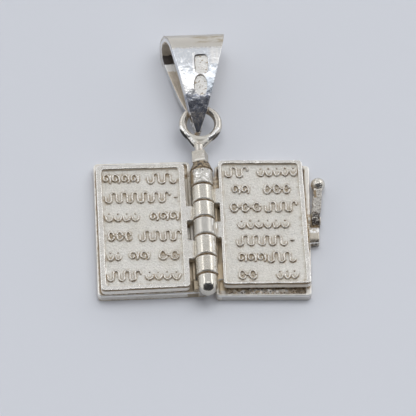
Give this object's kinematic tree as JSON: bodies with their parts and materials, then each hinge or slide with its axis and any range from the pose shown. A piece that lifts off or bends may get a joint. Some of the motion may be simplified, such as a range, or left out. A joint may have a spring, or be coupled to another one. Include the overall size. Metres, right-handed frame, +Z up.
{
  "type": "bible pendant",
  "caption": "Miniature open book pendant in silver: hinged tray covers, thick metal pages with raised ornament, a ball ended catch lever, a hinge pin with a ring and a folded bail.",
  "frame": {"origin": "middle of the outer box of the open pendant, on the surface that it lies on", "axes": "+Y along the hinge towards the bail, +X across the book towards the cover with the catch lever, +Z up out of the pages"},
  "size_m": [0.0232, 0.0294, 0.004],
  "materials": {
    "cover_silver": "worn polished silver, brown tarnish inside the rim",
    "page_silver": "sandblasted grey silver panel with polished rim",
    "ring_silver": "polished silver with rough solder",
    "bail_silver": "hammered and polished silver, dark inside",
    "lever_silver": "worn silver, rough on the arm"
  },
  "bodies": {
    "left_cover": {"left_cover": "cover_silver", "pin_and_ring": "ring_silver", "bail": "bail_silver"},
    "right_cover": {"right_cover": "cover_silver"},
    "left_leaf": {"left_leaf": "page_silver"},
    "right_leaf": {"right_leaf": "page_silver"},
    "latch_lever": {"latch_lever": "lever_silver"}
  },
  "joints": [
    {"name": "right_cover_hinge", "type": "hinge", "parent": "left_cover", "child": "right_cover", "pos_m": [-0.00069, 0, 0.00195], "axis": [0, 1, 0], "range_deg": [-180, 0]},
    {"name": "left_leaf_hinge", "type": "hinge", "parent": "left_cover", "child": "left_leaf", "pos_m": [-0.00069, 0, 0.00195], "axis": [0, 1, 0], "range_deg": [0, 180]},
    {"name": "right_leaf_hinge", "type": "hinge", "parent": "right_cover", "child": "right_leaf", "pos_m": [-0.00069, 0, 0.00195], "axis": [0, 1, 0], "range_deg": [-180, 0]},
    {"name": "latch_pivot", "type": "hinge", "parent": "right_cover", "child": "latch_lever", "pos_m": [0.01047, -0.00615, 0.0008], "axis": [1, 0, 0], "range_deg": [0, 90]}
  ]
}
